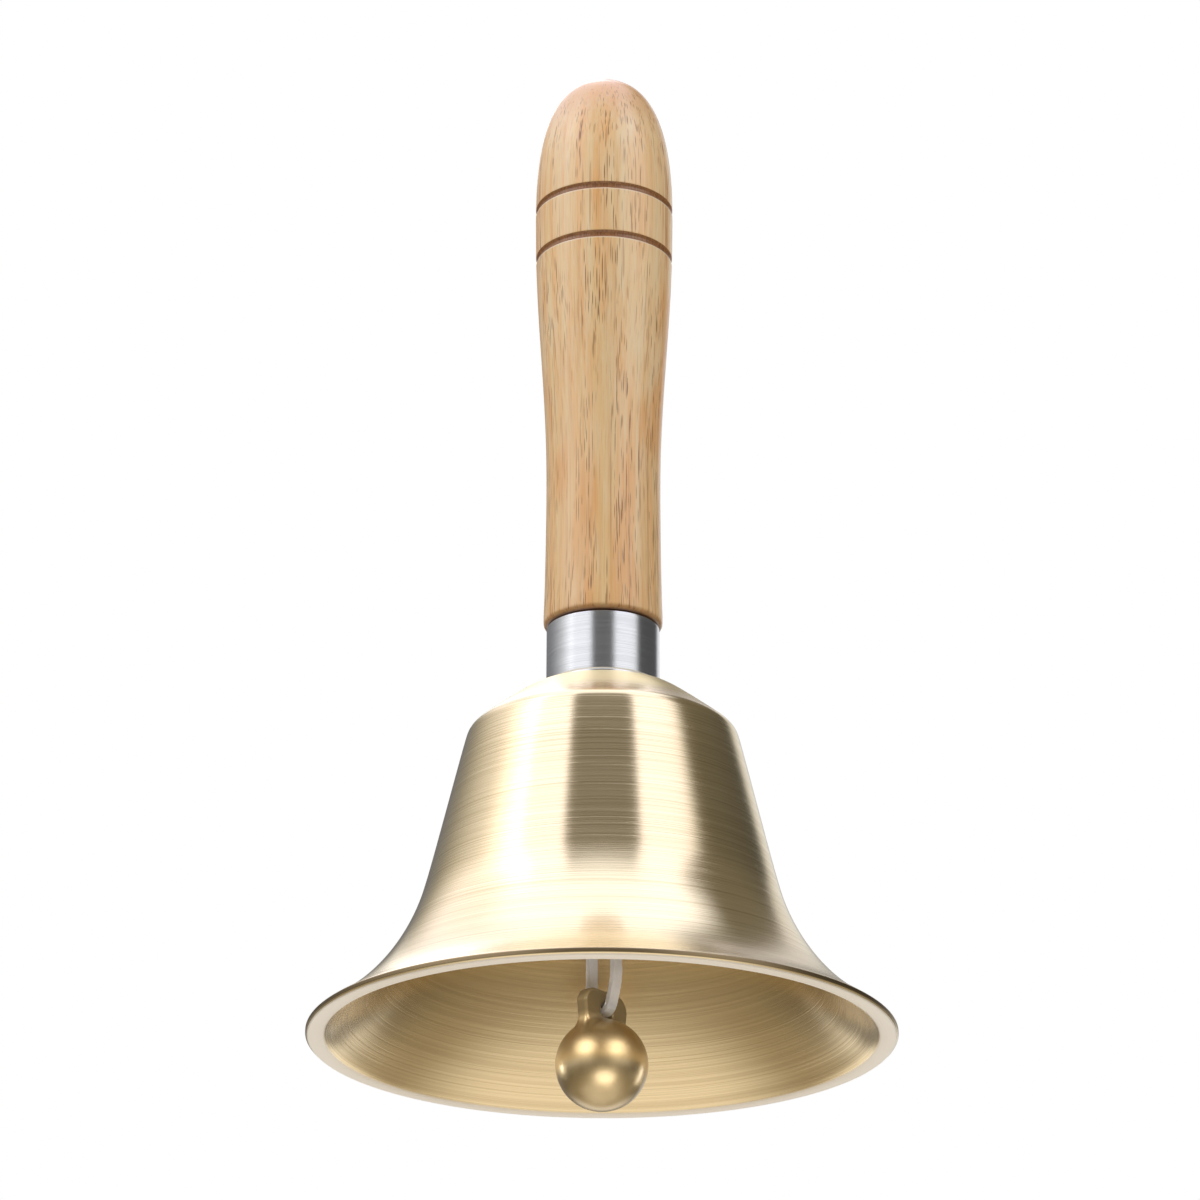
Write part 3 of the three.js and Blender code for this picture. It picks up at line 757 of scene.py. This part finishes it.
def make_world():
    """Soft studio light by direction. Azimuth is 0 on the camera's side and grows to the right."""
    world = bpy.data.worlds.new("studio")
    bpy.context.scene.world = world
    world.use_nodes = True
    r = Tree(world.node_tree)
    x, y, z = r.parts(r.add("TexCoord").outputs["Generated"])
    azimuth = r.math("DEGREES", r.math("ARCTAN2", x, r.times(y, -1.0)))
    height = r.math("DEGREES", r.math("ARCSINE", z))
    side = r.math("ABSOLUTE", azimuth)

    # A dark gap in front, between two soft boxes that stand closer to it higher up
    lean = r.minus(side, r.band(height, 20, 47, 0, 8))
    front = r.times(r.band(lean, 19, 25, 1, 0), r.band(height, 22, 46, 0.13, 0.22))
    fade = r.band(azimuth, -150, -52)
    fade = r.blend(r.band(height, 22, 27), r.times(fade, fade), r.band(azimuth, -104, -54))
    boxes = r.times(r.band(lean, 19, 25), r.band(azimuth, 68, 80, 1, 0), fade)
    boxes = r.times(boxes, r.band(height, 20, 44, 0.95, 1.7))

    # Beside the boxes: bright high on the left, dim on the right, a strip far right, a wall behind
    on_left = r.band(azimuth, -68, -60, 1, 0)
    left = r.times(on_left, r.band(height, 26, 46, 0.05, 1.15))
    glow = r.times(on_left, r.band(azimuth, -150, -66, 0.25, 0.42), r.band(height, 21, 28, 0.6, 1.0))
    right = r.times(r.band(azimuth, 68, 80), r.band(height, 22, 46, 0.08, 0.20))
    shift = r.minus(azimuth, r.band(height, 31, 46, 0, 14))
    far_right = r.times(r.band(shift, 138, 152, 0, 0.8), r.band(side, 166, 174, 1, 0.15))
    far_right = r.times(far_right, r.band(height, 36, 50, 1, 0))
    back_foot = r.band(azimuth, -10, 10, 25, 42)
    back = r.times(r.band(side, 160, 172, 0, 1.9), r.band(r.minus(height, back_foot), 0, 6))

    # Below the horizon: the floor's glow and one low light behind
    below = r.band(height, -1, -8)
    behind = r.times(r.band(side, 138, 162, 0, 1.1), r.band(height, -44, -32))
    behind = r.times(behind, r.band(height, -18, -12, 1, 0.1))
    lamps = r.blend(below, r.plus(boxes, left, r.plus(far_right, back)), behind)
    dark = r.blend(below, r.plus(front, right, glow), r.band(height, -10, -36, 0.11, 0.40))

    # The dim light is warm and the lamps are cool
    warmth = r.mix(r.band(height, 22, 34), (1.0, 1.0, 1.03, 1), (1.0, 0.91, 0.72, 1))
    warmth = r.mix(r.band(height, 0, -12), warmth, (1.0, 0.85, 0.60, 1))
    warm = r.mix(1.0, r.vector(dark, dark, dark), warmth, "MULTIPLY")
    cool = r.mix(r.band(height, 26, 46), (1.0, 1.0, 1.0, 1), (1.0, 0.985, 1.18, 1))
    around = r.mix(1.0, r.vector(lamps, lamps, lamps), cool, "MULTIPLY")
    around = r.mix(1.0, around, warm, "ADD")
    around = r.mix(r.band(height, 56, 68), around, (1.7, 1.76, 2.1, 1))
    around = r.mix(r.band(height, -40, -66), around, (1.12, 1.05, 0.95, 1))

    # What the camera itself sees behind the bell is plain white
    lit = r.nodes["Background"]
    r.feed(lit.inputs["Color"], around)
    seen = r.add("Background", {"Color": (1, 1, 1, 1), "Strength": 1.0})
    choice = r.add("MixShader", {0: r.add("LightPath").outputs["Is Camera Ray"]})
    r.links.new(lit.outputs[0], choice.inputs[1])
    r.links.new(seen.outputs[0], choice.inputs[2])
    r.links.new(choice.outputs[0], r.nodes["World Output"].inputs["Surface"])


def lamp_group(name, *objects):
    group = bpy.data.collections.new(name)
    for obj in objects:
        group.objects.link(obj)
    return group


def make_lamps():
    """Soft boxes for the clapper and strap, which the bell would shade, and for the handle."""
    ball = Vector((0, 0, BALL_HEIGHT))
    grip = Vector((0, 0, GRIP_HEIGHT))
    lit = lamp_group("lamp_lit", clapper)
    lit_low = lamp_group("lamp_lit_low", clapper, strap)
    lit_wood = lamp_group("lamp_lit_wood", handle)
    for name, reached, aim, azimuth, height, width, tall, glow in (
        ("upper_left", lit, ball, -44, 31, 36, 10, 24.0),
        ("upper_right", lit, ball, 38, 29, 36, 10, 24.0),
        ("lower_front", lit_low, ball, 11, -45, 48, 30, 3.4),
        ("side_left", lit_low, ball, -116, 10, 9, 28, 12.0),
        ("side_right", lit_low, ball, 118, -7, 10, 26, 6.0),
        ("wood_left", lit_wood, grip, -62, 24, 40, 60, 0.42),
        ("wood_right", lit_wood, grip, 58, 24, 40, 60, 0.7),
    ):
        data = bpy.data.lights.new(name, "AREA")
        data.shape = "ELLIPSE"
        # Width and height are the angles the lamp fills, seen from what it is aimed at
        data.size = 2 * LAMP_DISTANCE * math.tan(math.radians(width / 2))
        data.size_y = 2 * LAMP_DISTANCE * math.tan(math.radians(tall / 2))
        data.energy = glow * math.pi * data.size * data.size_y * math.pi / 4
        data.color = (1.0, 0.97, 0.92)
        lamp = bpy.data.objects.new(name, data)
        bpy.context.scene.collection.objects.link(lamp)
        turn, rise = math.radians(azimuth), math.radians(height)
        level = math.cos(rise)
        toward = Vector((math.sin(turn) * level, -math.cos(turn) * level, math.sin(rise)))
        lamp.location = aim + LAMP_DISTANCE * toward
        lamp.rotation_euler = toward.to_track_quat("Z", "Y").to_euler()
        lamp.visible_camera = False
        lamp.light_linking.receiver_collection = reached
        lamp.light_linking.blocker_collection = reached


def make_camera():
    data = bpy.data.cameras.new("camera")
    camera = bpy.data.objects.new("camera", data)
    bpy.context.scene.collection.objects.link(camera)
    data.sensor_width = 36
    data.lens = 132.75
    camera.location = CAMERA_PLACE
    camera.rotation_euler = (math.radians(90 + CAMERA_RISE), 0, 0)
    camera.rotation_euler.rotate_axis("Z", math.radians(CAMERA_ROLL))
    bpy.context.scene.camera = camera


make_floor()
make_world()
make_lamps()
make_camera()
bpy.context.scene.view_settings.view_transform = "Standard"
